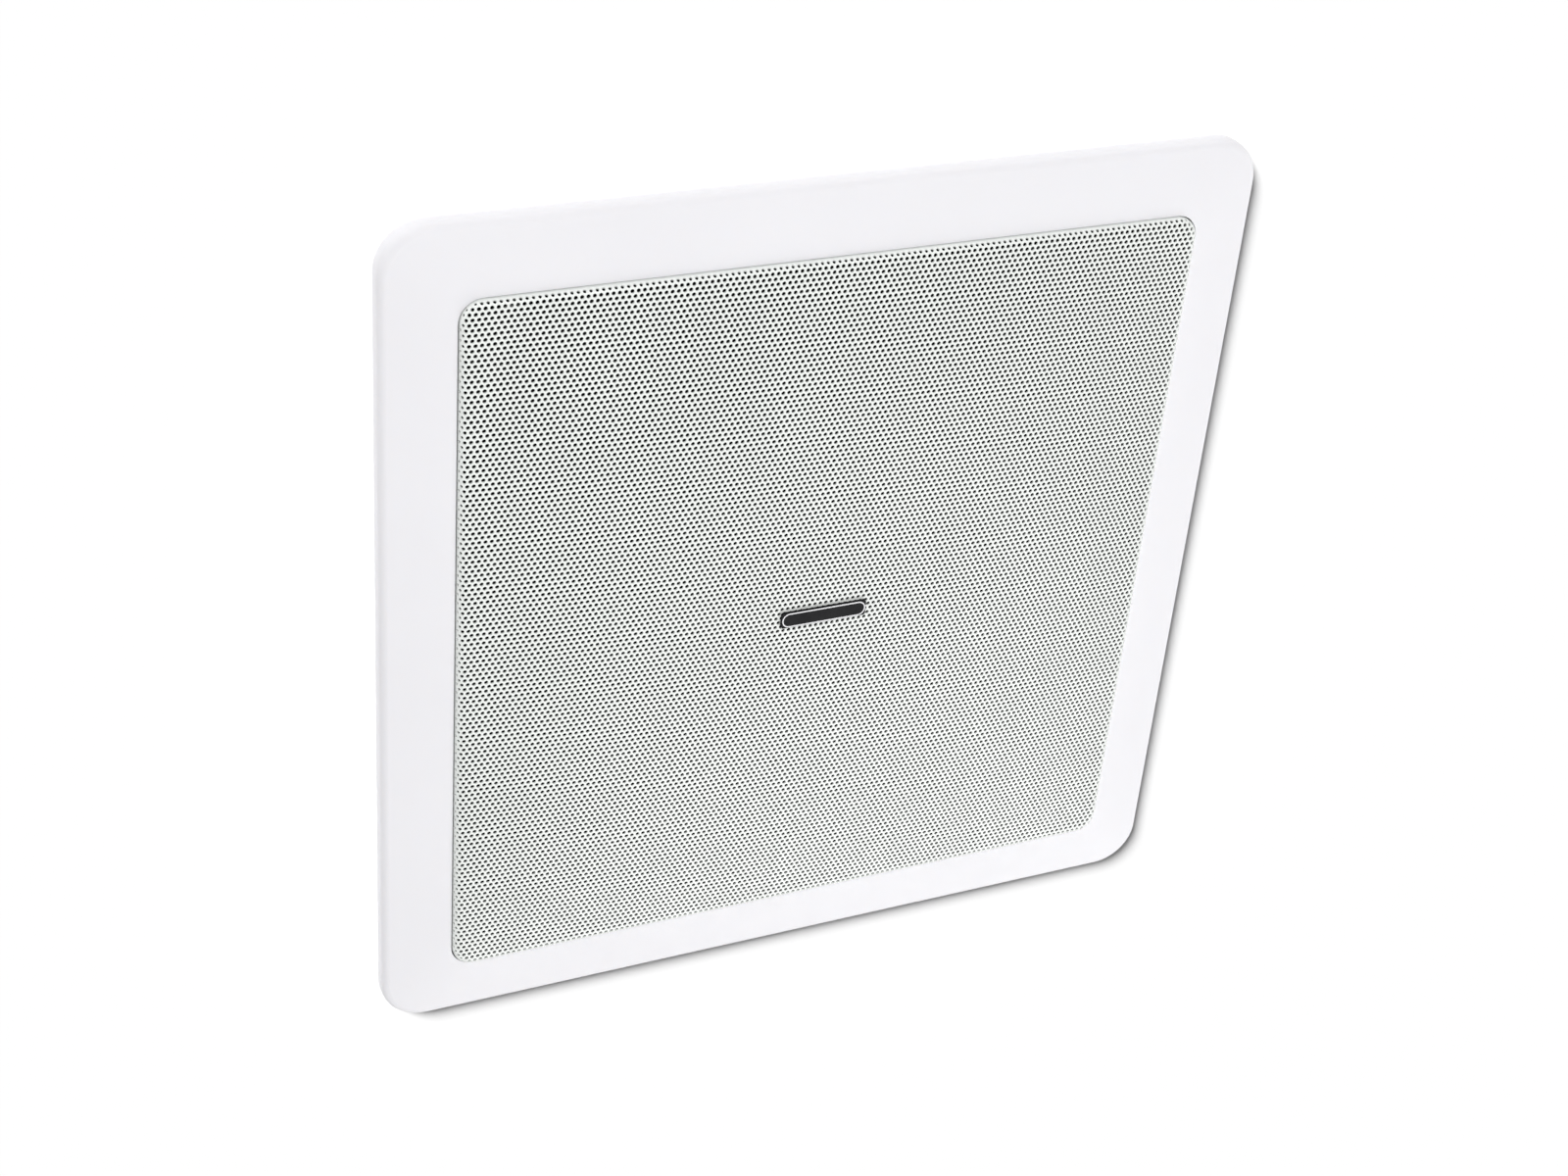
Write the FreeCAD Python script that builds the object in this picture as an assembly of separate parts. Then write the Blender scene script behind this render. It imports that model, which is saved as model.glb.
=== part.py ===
import FreeCAD, Part
import math
import os

V = FreeCAD.Vector
UP = V(0, 0, 1)
CENTRE = V(0, 0, 0)

# Coaxial ceiling speaker, in millimetres.
# The ceiling's lower face is z = 0: the grille looks down (-Z) and the driver stands in the void (+Z).

# Square moulded frame: flange under the ceiling, collar through the cut-out, baffle across the middle
frame_side = 300.0
frame_corner = 15.5
edge_height = 6.0
edge_round = 3.0
lip_height = 10.0
opening_side = 254.0
opening_corner = 8.0
cutout_side = 270.0
cutout_clearance = 2.0
collar_corner = 12.0
collar_wall = 2.5
collar_height = 10.0
baffle_front = -2.0
baffle_thick = 4.0
baffle_hole_margin = 1.0
relief_depth = 3.0
relief_rim = 3.0
relief_corner = 1.5
relief_rib = 2.0
relief_ribs_per_side = 6

# Pressed steel grille with a crowned, perforated face
grille_gap = 0.4
grille_proud = 2.2
grille_sheet = 0.5
grille_roll = 2.5
grille_crown = 3.2
crown_fullness = 0.65
hole_pitch = 2.0
hole_size = 1.3
slot_margin = 5.0
cloth_thick = 0.3
cloth_gap = 0.1

# Small plain badge on the grille
badge_length = 31.0
badge_width = 5.8
badge_thick = 1.0
badge_corner = 0.8
badge_offset = 2.4

# Woofer: basket, gasket, surround, cone, spider
basket_r = 105.0
basket_sheet = 1.2
basket_rim_width = 13.0
basket_shoulder_step = 3.5
basket_shoulder_drop = 8.0
basket_depth = 51.8
spider_seat_depth = 41.0
spider_seat_r = 47.0
basket_neck_r = 37.0
basket_neck_slope = 1.0
basket_bore_r = 20.0
window_count = 8
window_width = 24.0
window_foot_margin = 3.0
window_top_margin = 0.5
gasket_thick = 2.0
gasket_setback = 1.5
surround_sheet = 0.6
surround_seat_inset = 8.0
surround_roll_r = 6.9
surround_roll_gap = 0.1
cone_glue_width = 4.0
cone_sheet = 0.8
cone_depth = 32.0
cone_bend_share = 0.45
cone_flare = 0.85
cone_neck_length = 3.5
spider_sheet = 0.5
spider_outer_r = 44.0
spider_waves = 5
spider_wave_height = 1.2
spider_flat = 3.0
woofer_screw_r = 1.6
woofer_screw_head_r = 3.5
woofer_screw_head = 2.2
woofer_screw_bite = 3.0
woofer_screw_inset = 4.0
woofer_screw_count = 4
screw_clearance = 0.05

# Motor: voice coil, top plate, ring magnet, T-yoke
pole_r = 12.3
former_gap = 0.45
former_sheet = 0.3
former_tail = 4.0
former_lead = 1.0
coil_thick = 0.55
coil_length = 12.0
coil_gap = 0.5
glue_gap = 0.1
top_plate_r = 45.0
top_plate_thick = 5.0
magnet_r = 50.0
magnet_bore_r = 24.0
magnet_thick = 14.0
yoke_plate_thick = 6.0
pole_proud = 1.0

# Tweeter on a post through the pole
post_r = 4.0
post_bore_r = 1.6
post_head_r = 8.0
post_head = 1.5
post_fit = 0.1
post_tail = 1.6
spacer_r = 6.0
washer_r = 8.5
washer_thick = 1.6
nut_flats = 13.0
nut_height = 6.5
tweeter_front = -2.0
tweeter_r = 19.0
tweeter_wall = 1.6
tweeter_back_wall = 2.0
tweeter_depth = 14.0
tweeter_yoke_r = 13.0
tweeter_yoke_wall = 1.5
tweeter_yoke_height = 8.0
tweeter_magnet_r = 9.5
tweeter_magnet_thick = 3.5
tweeter_pole_r = 9.7
tweeter_pole_thick = 1.7
tweeter_coil_gap = 0.3
tweeter_coil_thick = 0.6
tweeter_coil_length = 3.0
dome_rise = 3.4
dome_sheet = 0.3
dome_rim_r = 15.5
face_ring_thick = 1.6
face_ring_bore_r = 12.0

# Corner clamps: a screw in a slotted tower carries a dog that swings out and runs down on the ceiling
clamp_x = 108.0
clamp_y = 117.0
clamp_screw_r = 2.0
clamp_head_r = 4.0
clamp_head = 2.6
clamp_fit = 0.05
clamp_hole_gap = 0.1
tower_bore_r = 7.5
tower_wall = 2.2
tower_height = 46.0
tower_cap = 3.0
tower_web = 2.5
dog_hub_r = 6.5
dog_height = 10.0
dog_reach = 32.0
dog_width = 9.0
dog_lip = 1.0
dog_lip_length = 6.0
dog_top_gap = 2.0
dog_corner = 3.0
dog_stop_gap = 3.0
screw_tip = 2.0

# Crossover board on pillars beside the woofer
board_length = 58.0
board_width = 32.0
board_thick = 1.6
board_wall_gap = 1.5
board_y = 72.0
pillar_r = 3.2
pillar_height = 8.0
board_inset = 4.0
board_screw_r = 1.5
board_screw_head_r = 2.8
board_screw_head = 1.8
board_screw_bite = 5.0
board_pilot = 6.0
capacitor_r = 5.5
capacitor_length = 20.0
capacitor_lead_r = 0.4
capacitor_lead = 3.0
inductor_r = 8.5
inductor_height = 14.0
inductor_flange = 1.5
inductor_core_r = 4.0
inductor_winding_r = 7.8
winding_gap = 0.05

# Push terminal on the board
block_length = 22.0
block_width = 16.0
block_height = 16.0
block_corner = 1.0
block_gap = 0.5
way_pitch = 11.0
wire_slot = 3.2
wire_depth = 10.0
wire_offset = -4.5
button_side = 5.6
button_gap = 0.3
button_offset = 3.5
button_proud = 4.0
spring_height = 4.4
spring_sheet = 0.3
spring_width = 4.0
block_floor = 2.0

# Woofer tag strip on the basket's sloping wall
tag_strip_length = 20.0
tag_strip_width = 12.0
tag_strip_thick = 1.5
tag_angle = 202.5
tag_pitch = 10.0
tag_width = 4.0
tag_thick = 0.5
tag_height = 7.0

# Places that follow from the sizes above
baffle_back = baffle_front + baffle_thick
collar_side = cutout_side - 2 * cutout_clearance
grille_side = opening_side - 2 * grille_gap
grille_corner = opening_corner - grille_gap
grille_rim = -lip_height - grille_proud
grille_top = grille_rim - grille_crown
slot_pitch = hole_pitch * math.sqrt(3)
basket_front = baffle_back + gasket_thick
basket_throat_r = basket_r - basket_rim_width
basket_shoulder_r = basket_throat_r - basket_shoulder_step
baffle_hole_r = basket_throat_r + baffle_hole_margin
window_inner_r = spider_seat_r + window_foot_margin + window_width / 2
window_outer_r = basket_shoulder_r - window_top_margin - window_width / 2
gasket_inner_r = basket_throat_r + gasket_setback
surround_flange_r = basket_r - surround_seat_inset
surround_roll_mid_r = basket_throat_r - surround_roll_gap - surround_roll_r
cone_edge_r = surround_roll_mid_r - surround_roll_r - surround_roll_gap
woofer_screw_circle_r = basket_r - woofer_screw_inset
surround_front = basket_front - surround_sheet
spider_seat = basket_front + spider_seat_depth
basket_end = basket_front + basket_depth
top_plate_front = basket_end + basket_sheet
magnet_front = top_plate_front + top_plate_thick
yoke_front = magnet_front + magnet_thick
yoke_back = yoke_front + yoke_plate_thick
former_r = pole_r + former_gap
former_outer_r = former_r + former_sheet
coil_r = former_outer_r + coil_thick
gap_r = coil_r + coil_gap
gap_middle = top_plate_front + top_plate_thick / 2
coil_front = gap_middle - coil_length / 2
cone_neck_front = basket_front + cone_depth
former_front = cone_neck_front - former_lead
former_back = magnet_front + former_tail
pole_front = top_plate_front - pole_proud
tweeter_back = tweeter_front + tweeter_depth
tweeter_floor = tweeter_back - tweeter_back_wall
post_front = tweeter_floor - post_head
tweeter_yoke_front = post_front - tweeter_yoke_height
tweeter_yoke_floor = post_front - tweeter_yoke_wall
tweeter_magnet_front = tweeter_yoke_floor - tweeter_magnet_thick
tweeter_pole_front = tweeter_magnet_front - tweeter_pole_thick
tweeter_coil_r = tweeter_pole_r + tweeter_coil_gap
tweeter_coil_outer_r = tweeter_coil_r + tweeter_coil_thick
nut_front = yoke_back + washer_thick
nut_back = nut_front + nut_height
tower_top = baffle_back + tower_height
tower_r = tower_bore_r + tower_wall
dog_top = tower_top - dog_top_gap
dog_base = dog_top - dog_height
board_x = collar_side / 2 - collar_wall - board_wall_gap - board_width / 2
board_base = baffle_back + pillar_height
board_top = board_base + board_thick
block_y = board_y - board_length / 2 + board_inset + board_screw_head_r + block_gap + block_width / 2
block_top = board_top + block_height
button_base = board_top + block_floor + spring_height


def rounded_square(side, corner, z):
    """A square outline with round corners, centred on the Z axis."""
    half = side / 2
    flat = half - corner
    bulge = flat + corner * math.sqrt(0.5)
    edges = []
    for quarter in range(4):
        turn = FreeCAD.Rotation(UP, 90 * quarter)
        start = turn.multVec(V(half, -flat, z))
        end = turn.multVec(V(half, flat, z))
        middle = turn.multVec(V(bulge, bulge, z))
        after = turn.multVec(V(flat, half, z))
        edges.append(Part.LineSegment(start, end).toShape())
        edges.append(Part.Arc(end, middle, after).toShape())
    return Part.Wire(edges)


def slab(side, corner, low, high):
    """A rounded-square block between two heights."""
    return Part.Face(rounded_square(side, corner, low)).extrude(V(0, 0, high - low))


def box(x, y, low, length, width, height):
    """A block centred on x and y, standing on the height low."""
    return Part.makeBox(length, width, height, V(x - length / 2, y - width / 2, low))


def disc(radius, low, high, x=0.0, y=0.0):
    """A round block between two heights."""
    return Part.makeCylinder(radius, high - low, V(x, y, low))


def ring(outer_r, inner_r, low, high, x=0.0, y=0.0):
    """A flat washer or tube between two heights."""
    return disc(outer_r, low, high, x, y).cut(disc(inner_r, low, high, x, y))


def turned(points):
    """A solid turned about the Z axis from a closed outline of (radius, height) points."""
    corners = [V(r, 0, z) for r, z in points]
    face = Part.Face(Part.makePolygon(corners + corners[:1]))
    return face.revolve(CENTRE, UP, 360)


def sheet_outline(points, thick):
    """The closed outline of a bent sheet: a line of points, and the same line set off to its left."""
    normals = []
    for (x0, y0), (x1, y1) in zip(points, points[1:]):
        length = math.hypot(x1 - x0, y1 - y0)
        normals.append((-(y1 - y0) / length, (x1 - x0) / length))
    before = normals[:1] + normals
    after = normals + normals[-1:]
    offset = []
    for (x, y), (ax, ay), (bx, by) in zip(points, before, after):
        scale = thick / (1 + ax * bx + ay * by)
        offset.append((x + (ax + bx) * scale, y + (ay + by) * scale))
    return points + offset[::-1]


def around(shape, count, first=0.0):
    """Copies of a shape evenly spaced about the Z axis."""
    copies = []
    for index in range(count):
        copy = shape.copy()
        copy.rotate(CENTRE, UP, first + index * 360 / count)
        copies.append(copy)
    return copies


def edges_between(shape, low, high):
    """The edges that lie wholly between two heights."""
    return [e for e in shape.Edges if e.BoundBox.ZMin > low and e.BoundBox.ZMax < high]


def flange():
    """The flange: an upright edge, a face that slopes out to the grille's lip, and a rounded rim."""
    edge = slab(frame_side, frame_corner, -edge_height, 0)
    rim = rounded_square(frame_side, frame_corner, -edge_height)
    lip = rounded_square(opening_side, opening_corner, -lip_height)
    body = edge.fuse(Part.makeLoft([rim, lip], True, True)).removeSplitter()
    rim_edges = edges_between(body, -edge_height - 0.01, -edge_height + 0.01)
    return body.makeFillet(edge_round, rim_edges)


def flange_relief():
    """Shallow hollows in the flange's back, parted by ribs."""
    outer = slab(frame_side - 2 * relief_rim, frame_corner - relief_rim, -relief_depth, 0)
    hollow = outer.cut(slab(collar_side + 2 * relief_rim, relief_corner, -relief_depth, 0))
    spacing = collar_side / relief_ribs_per_side
    ribs = []
    for index in range(relief_ribs_per_side + 1):
        place = (index - relief_ribs_per_side / 2) * spacing
        rib = box(place, 0, -relief_depth, relief_rib, frame_side, relief_depth)
        ribs.append(rib)
        ribs.append(box(0, place, -relief_depth, frame_side, relief_rib, relief_depth))
    return hollow.cut(ribs)


def clamp_tower():
    """A slotted tower, open towards the dog's sweep, with a cap for the screw and a web to the collar."""
    arm_half_angle = math.degrees(math.asin(dog_width / 2 / tower_bore_r)) + dog_stop_gap
    first = 180 + arm_half_angle
    span = 270 - 2 * arm_half_angle
    wall = Part.makeCylinder(tower_r, tower_height, V(0, 0, baffle_back), UP, span)
    wall = wall.cut(disc(tower_bore_r, baffle_back, tower_top))
    wall.rotate(CENTRE, UP, first)
    cap = disc(tower_r, tower_top, tower_top + tower_cap)
    web_length = collar_side / 2 - clamp_x - tower_bore_r
    web_x = tower_bore_r + web_length / 2
    web = box(web_x, -tower_web, baffle_back, web_length, tower_web, collar_height - baffle_back)
    tower = wall.fuse([cap, web])
    tower = tower.cut(disc(clamp_screw_r + clamp_hole_gap, baffle_back, tower_top + tower_cap))
    tower.translate(V(clamp_x, clamp_y, 0))
    return tower


def pillar_places():
    """Where the crossover board's four corner holes lie."""
    dx = board_width / 2 - board_inset
    dy = board_length / 2 - board_inset
    return [(board_x + sx * dx, board_y + sy * dy) for sx in (-1, 1) for sy in (-1, 1)]


def bezel_frame():
    """The one-piece moulded frame."""
    collar = slab(collar_side, collar_corner, baffle_front, collar_height)
    well_side = collar_side - 2 * collar_wall
    well = slab(well_side, collar_corner - collar_wall, baffle_back, collar_height)
    opening = slab(opening_side, opening_corner, -lip_height, baffle_front)
    body = flange().fuse(collar).cut([well, opening, flange_relief()])
    pillars = [disc(pillar_r, baffle_back, board_base, x, y) for x, y in pillar_places()]
    body = body.fuse(around(clamp_tower(), 4) + pillars)
    screw_hole = disc(woofer_screw_r + screw_clearance, baffle_front, baffle_back, woofer_screw_circle_r)
    clamp_hole = disc(clamp_screw_r + clamp_hole_gap, baffle_front, baffle_back, clamp_x, clamp_y)
    pilot_low = board_base - board_pilot
    pilots = [
        disc(board_screw_r + screw_clearance, pilot_low, board_base, x, y) for x, y in pillar_places()
    ]
    holes = [disc(baffle_hole_r, baffle_front, baffle_back)]
    holes += around(screw_hole, woofer_screw_count, 45)
    holes += around(clamp_hole, 4)
    return body.cut(holes + pilots).removeSplitter()


def crown_face(rim):
    """The crowned face over the grille, flat-topped each way: part parabola, part fourth power."""
    share = crown_fullness
    shoulder = 1 + share
    middle = 1 + (1 - share) / 3 - share
    rise = [0, shoulder, middle, shoulder, 0]
    last = len(rise) - 1
    surface = Part.BezierSurface()
    surface.increase(last, last)
    for i, rise_x in enumerate(rise):
        for j, rise_y in enumerate(rise):
            x = grille_side * (i / last - 0.5)
            y = grille_side * (j / last - 0.5)
            surface.setPole(i + 1, j + 1, V(x, y, rim - grille_crown * rise_x * rise_y))
    return surface.toShape()


def grille_pan(inset):
    """A crowned block with a rolled edge, set in from the grille's outside by one inset all round."""
    rim = grille_rim + inset
    block = crown_face(rim).extrude(V(0, 0, baffle_front - grille_top))
    trim = slab(grille_side - 2 * inset, grille_corner - inset, grille_top, baffle_front)
    block = block.common(trim)
    rim_edges = edges_between(block, grille_top, baffle_front - grille_roll)
    return block.makeFillet(grille_roll - inset, rim_edges)


def grille():
    """The pressed grille: a crowned tray whose rows of holes are opened as fine slots, every second row."""
    tray = grille_pan(0).cut(grille_pan(grille_sheet))
    length = grille_side - 2 * slot_margin
    rows = int(length / slot_pitch / 2)
    height = baffle_front - grille_top - grille_roll
    slots = []
    for row in range(-rows, rows + 1):
        slots.append(box(0, row * slot_pitch, grille_top, length, hole_size, height))
    return tray.cut(slots)


def grille_cloth():
    """The dark acoustic cloth bonded behind the perforated face."""
    inset = grille_sheet + grille_roll
    sheet = crown_face(grille_rim + grille_sheet + cloth_gap).extrude(V(0, 0, cloth_thick))
    return sheet.common(slab(grille_side - 2 * inset, grille_corner - inset, grille_top, baffle_front))


def badge_plate():
    """A plain black plate with round corners."""
    plate = box(0, badge_offset, grille_top - badge_thick, badge_length, badge_width, badge_thick)
    upright = [e for e in plate.Edges if e.BoundBox.ZLength > badge_thick / 2]
    return plate.makeFillet(badge_corner, upright)


def woofer_gasket():
    """A stepped foam ring between the baffle and the basket, clear of the surround's flange."""
    points = [(gasket_inner_r, baffle_back), (basket_r, baffle_back), (basket_r, basket_front)]
    points += [(surround_flange_r, basket_front), (surround_flange_r, surround_front)]
    points += [(gasket_inner_r, surround_front)]
    hole = disc(woofer_screw_r + screw_clearance, baffle_back, basket_front, woofer_screw_circle_r)
    return turned(points).cut(around(hole, woofer_screw_count, 45))


def basket_line():
    """The front side of the pressed basket, from its rim to its bore."""
    neck_foot_r = basket_neck_r - basket_neck_slope
    return [
        (basket_r, basket_front),
        (basket_throat_r, basket_front),
        (basket_shoulder_r, basket_front + basket_shoulder_drop),
        (spider_seat_r, spider_seat),
        (basket_neck_r, spider_seat),
        (neck_foot_r, basket_end),
        (basket_bore_r, basket_end),
    ]


def woofer_basket():
    """The pressed steel basket with a ring of windows."""
    body = turned(sheet_outline(basket_line()[::-1], basket_sheet))
    radius = window_width / 2
    window = box((window_inner_r + window_outer_r) / 2, 0, basket_front,
                 window_outer_r - window_inner_r, window_width, basket_depth)
    ends = [disc(radius, basket_front, basket_end, x) for x in (window_inner_r, window_outer_r)]
    windows = around(window.fuse(ends), window_count)
    hole_r = woofer_screw_r + screw_clearance
    hole = disc(hole_r, basket_front, basket_front + basket_sheet, woofer_screw_circle_r)
    return body.cut(windows + around(hole, woofer_screw_count, 45))


def woofer_surround():
    """A rubber half roll with a flat flange on each side."""
    inner_r = surround_roll_r - surround_sheet
    middle = surround_roll_mid_r
    outer = Part.Arc(V(middle - surround_roll_r, 0, basket_front),
                     V(middle, 0, basket_front - surround_roll_r),
                     V(middle + surround_roll_r, 0, basket_front)).toShape()
    inner = Part.Arc(V(middle + inner_r, 0, basket_front),
                     V(middle, 0, basket_front - inner_r),
                     V(middle - inner_r, 0, basket_front)).toShape()
    outer_foot = Part.LineSegment(V(middle + surround_roll_r, 0, basket_front),
                                  V(middle + inner_r, 0, basket_front)).toShape()
    inner_foot = Part.LineSegment(V(middle - inner_r, 0, basket_front),
                                  V(middle - surround_roll_r, 0, basket_front)).toShape()
    roll = Part.Face(Part.Wire([outer, outer_foot, inner, inner_foot])).revolve(CENTRE, UP, 360)
    foot_r = surround_roll_r - surround_sheet / 2
    outer_flange = ring(surround_flange_r, middle + foot_r, surround_front, basket_front)
    inner_flange = ring(middle - foot_r, cone_edge_r - cone_glue_width, surround_front, basket_front)
    return roll.fuse([outer_flange, inner_flange]).removeSplitter()


def woofer_cone():
    """The paper cone, one pressed sheet: a flat glue ring, a flared wall and a neck on the former."""
    bend_r = former_outer_r + (cone_edge_r - former_outer_r) * cone_bend_share
    bend_z = basket_front + cone_depth * (1 - cone_bend_share) * cone_flare
    line = [
        (former_outer_r, cone_neck_front + cone_neck_length),
        (former_outer_r, cone_neck_front),
        (bend_r, bend_z),
        (cone_edge_r - cone_glue_width, basket_front),
        (cone_edge_r, basket_front),
    ]
    return turned(sheet_outline(line, cone_sheet))


def woofer_spider():
    """The corrugated cloth spider between the former and the basket's seat."""
    first = former_outer_r + spider_flat
    span = basket_neck_r - first
    points = [(former_outer_r + glue_gap, spider_seat - spider_sheet)]
    points.append((first, spider_seat - spider_sheet))
    for wave in range(2 * spider_waves - 1):
        side = 1 if wave % 2 == 0 else -1
        height = spider_seat - spider_sheet - side * spider_wave_height
        points.append((first + span * (wave + 1) / (2 * spider_waves), height))
    points.append((basket_neck_r, spider_seat - spider_sheet))
    points.append((spider_outer_r, spider_seat - spider_sheet))
    return turned(sheet_outline(points, spider_sheet))


def voice_coil_former():
    """The thin tube that carries the winding."""
    return ring(former_outer_r, former_r, former_front, former_back)


def voice_coil():
    """The winding, centred in the magnetic gap."""
    return ring(coil_r, former_outer_r, coil_front, coil_front + coil_length)


def top_plate():
    """The steel plate in front of the magnet."""
    return ring(top_plate_r, gap_r, top_plate_front, magnet_front)


def ring_magnet():
    """The ferrite ring."""
    return ring(magnet_r, magnet_bore_r, magnet_front, yoke_front)


def t_yoke():
    """The back plate and pole, bored for the tweeter's post."""
    bore_r = post_r + post_fit
    points = [(bore_r, pole_front), (pole_r, pole_front), (pole_r, yoke_front)]
    points += [(top_plate_r, yoke_front), (top_plate_r, yoke_back), (bore_r, yoke_back)]
    return turned(points)


def woofer_screws():
    """Four pan-head screws from behind the basket into the baffle."""
    seat = basket_front + basket_sheet
    shank = disc(woofer_screw_r, baffle_back - woofer_screw_bite, seat, woofer_screw_circle_r)
    head = disc(woofer_screw_head_r, seat, seat + woofer_screw_head, woofer_screw_circle_r)
    head = head.makeChamfer(woofer_screw_head / 2, edges_between(head, seat, seat + 2 * woofer_screw_head))
    return Part.makeCompound(around(shank.fuse(head).removeSplitter(), woofer_screw_count, 45))


def woofer_tag_strip():
    """A narrow strip with two solder tags, riveted flat on the basket's sloping wall."""
    (shoulder_r, shoulder_z), (seat_r, seat_z) = basket_line()[2:4]
    slope = math.degrees(math.atan2(seat_z - shoulder_z, shoulder_r - seat_r))
    strip = box(0, 0, 0, tag_strip_width, tag_strip_length, tag_strip_thick)
    for side in (-1, 1):
        strip = strip.fuse(box(0, side * tag_pitch / 2, tag_strip_thick, tag_thick, tag_width, tag_height))
    strip.translate(V(0, 0, basket_sheet))
    strip.rotate(CENTRE, V(0, 1, 0), slope)
    strip.translate(V((shoulder_r + seat_r) / 2, 0, (shoulder_z + seat_z) / 2))
    strip.rotate(CENTRE, UP, tag_angle)
    return strip


def tweeter_post():
    """The headed, bored post that carries the tweeter through the pole."""
    shaft = disc(post_r, tweeter_floor, nut_back + post_tail)
    head = disc(post_head_r, post_front, tweeter_floor)
    return shaft.fuse(head).cut(disc(post_bore_r, post_front, nut_back + post_tail)).removeSplitter()


def post_spacer():
    """The sleeve that holds the tweeter off the pole."""
    return ring(spacer_r, post_r + post_fit, tweeter_back, pole_front)


def post_washer():
    """The washer under the post's nut."""
    return ring(washer_r, post_r + post_fit, yoke_back, nut_front)


def post_nut():
    """The hexagon nut behind the yoke."""
    corner_r = nut_flats / math.sqrt(3)
    first = V(corner_r, 0, nut_front)
    corners = [FreeCAD.Rotation(UP, 60 * index).multVec(first) for index in range(7)]
    blank = Part.Face(Part.makePolygon(corners)).extrude(V(0, 0, nut_height))
    return blank.cut(disc(post_r + post_fit, nut_front, nut_back))


def tweeter_housing():
    """The round plastic cup of the tweeter."""
    inner_r = tweeter_r - tweeter_wall
    bore_r = post_r + post_fit
    points = [(bore_r, tweeter_floor), (inner_r, tweeter_floor), (inner_r, tweeter_front)]
    points += [(tweeter_r, tweeter_front), (tweeter_r, tweeter_back), (bore_r, tweeter_back)]
    return turned(points)


def tweeter_yoke():
    """The small steel pot."""
    inner_r = tweeter_yoke_r - tweeter_yoke_wall
    cup = disc(tweeter_yoke_r, tweeter_yoke_front, post_front)
    return cup.cut(disc(inner_r, tweeter_yoke_front, tweeter_yoke_floor))


def tweeter_magnet():
    """The small magnet in the pot."""
    return disc(tweeter_magnet_r, tweeter_magnet_front, tweeter_yoke_floor)


def tweeter_pole_plate():
    """The pole plate on the small magnet."""
    return disc(tweeter_pole_r, tweeter_pole_front, tweeter_magnet_front)


def tweeter_coil():
    """The winding under the dome."""
    return ring(tweeter_coil_outer_r, tweeter_coil_r, tweeter_yoke_front,
                tweeter_yoke_front + tweeter_coil_length)


def tweeter_dome():
    """The soft dome with its flat rim on the pot's edge."""
    base = tweeter_yoke_front
    base_r = tweeter_coil_outer_r
    ball_r = (base_r ** 2 + dome_rise ** 2) / 2 / dome_rise
    ball_z = base - dome_rise + ball_r
    ball_centre = V(0, 0, ball_z)
    shell = Part.makeSphere(ball_r, ball_centre).cut(Part.makeSphere(ball_r - dome_sheet, ball_centre))
    cap = shell.common(disc(base_r, base - 2 * dome_rise, base))
    rim = ring(dome_rim_r, base_r - dome_sheet, base - dome_sheet, base)
    return cap.fuse(rim).removeSplitter()


def tweeter_faceplate():
    """The ring that closes the cup and clamps the dome's rim."""
    clamp_z = tweeter_yoke_front - dome_sheet
    inner_r = tweeter_r - tweeter_wall - post_fit
    front = tweeter_front - face_ring_thick
    points = [(face_ring_bore_r, clamp_z), (face_ring_bore_r, front), (tweeter_r, front)]
    points += [(tweeter_r, tweeter_front), (inner_r, tweeter_front), (inner_r, clamp_z)]
    return turned(points)


def clamp_screw():
    """A long pan-head screw, from the baffle's front up through its tower."""
    shank = disc(clamp_screw_r, baffle_front, tower_top + tower_cap + screw_tip, clamp_x, clamp_y)
    head_front = baffle_front - clamp_head
    head = disc(clamp_head_r, head_front, baffle_front, clamp_x, clamp_y)
    head = head.makeChamfer(clamp_head / 3, edges_between(head, head_front - clamp_head, baffle_front))
    slot = box(clamp_x, clamp_y, head_front, 2 * clamp_screw_r, clamp_screw_r / 2, clamp_head / 2)
    cross = box(clamp_x, clamp_y, head_front, clamp_screw_r / 2, 2 * clamp_screw_r, clamp_head / 2)
    return shank.fuse(head).cut([slot, cross]).removeSplitter()


def clamp_dog():
    """A dog with a round hub and an arm, stowed along the frame's side."""
    arm = box(-dog_reach / 2, 0, dog_base, dog_reach, dog_width, dog_height)
    tip = [e for e in arm.Edges if e.BoundBox.ZLength > dog_height / 2 and e.BoundBox.XMax < -dog_reach / 2]
    arm = arm.makeFillet(dog_corner, tip)
    relief_length = dog_reach - dog_lip_length
    relief = box(-relief_length / 2, 0, dog_base, relief_length, dog_width, dog_lip)
    hub = disc(dog_hub_r, dog_base + dog_lip, dog_top)
    bore = disc(clamp_screw_r + clamp_fit, dog_base, dog_top)
    dog = arm.cut(relief).fuse(hub).cut(bore).removeSplitter()
    dog.translate(V(clamp_x, clamp_y, 0))
    return dog


def crossover_board():
    """The circuit board with its four screw holes."""
    board = box(board_x, board_y, board_base, board_width, board_length, board_thick)
    hole_r = board_screw_r + screw_clearance
    return board.cut([disc(hole_r, board_base, board_top, x, y) for x, y in pillar_places()])


def board_screws():
    """Two screws on opposite corners of the board."""
    places = pillar_places()
    screws = []
    for x, y in (places[0], places[3]):
        shank = disc(board_screw_r, board_base - board_screw_bite, board_top, x, y)
        head = disc(board_screw_head_r, board_top, board_top + board_screw_head, x, y)
        screws.append(shank.fuse(head).removeSplitter())
    return Part.makeCompound(screws)


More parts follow.
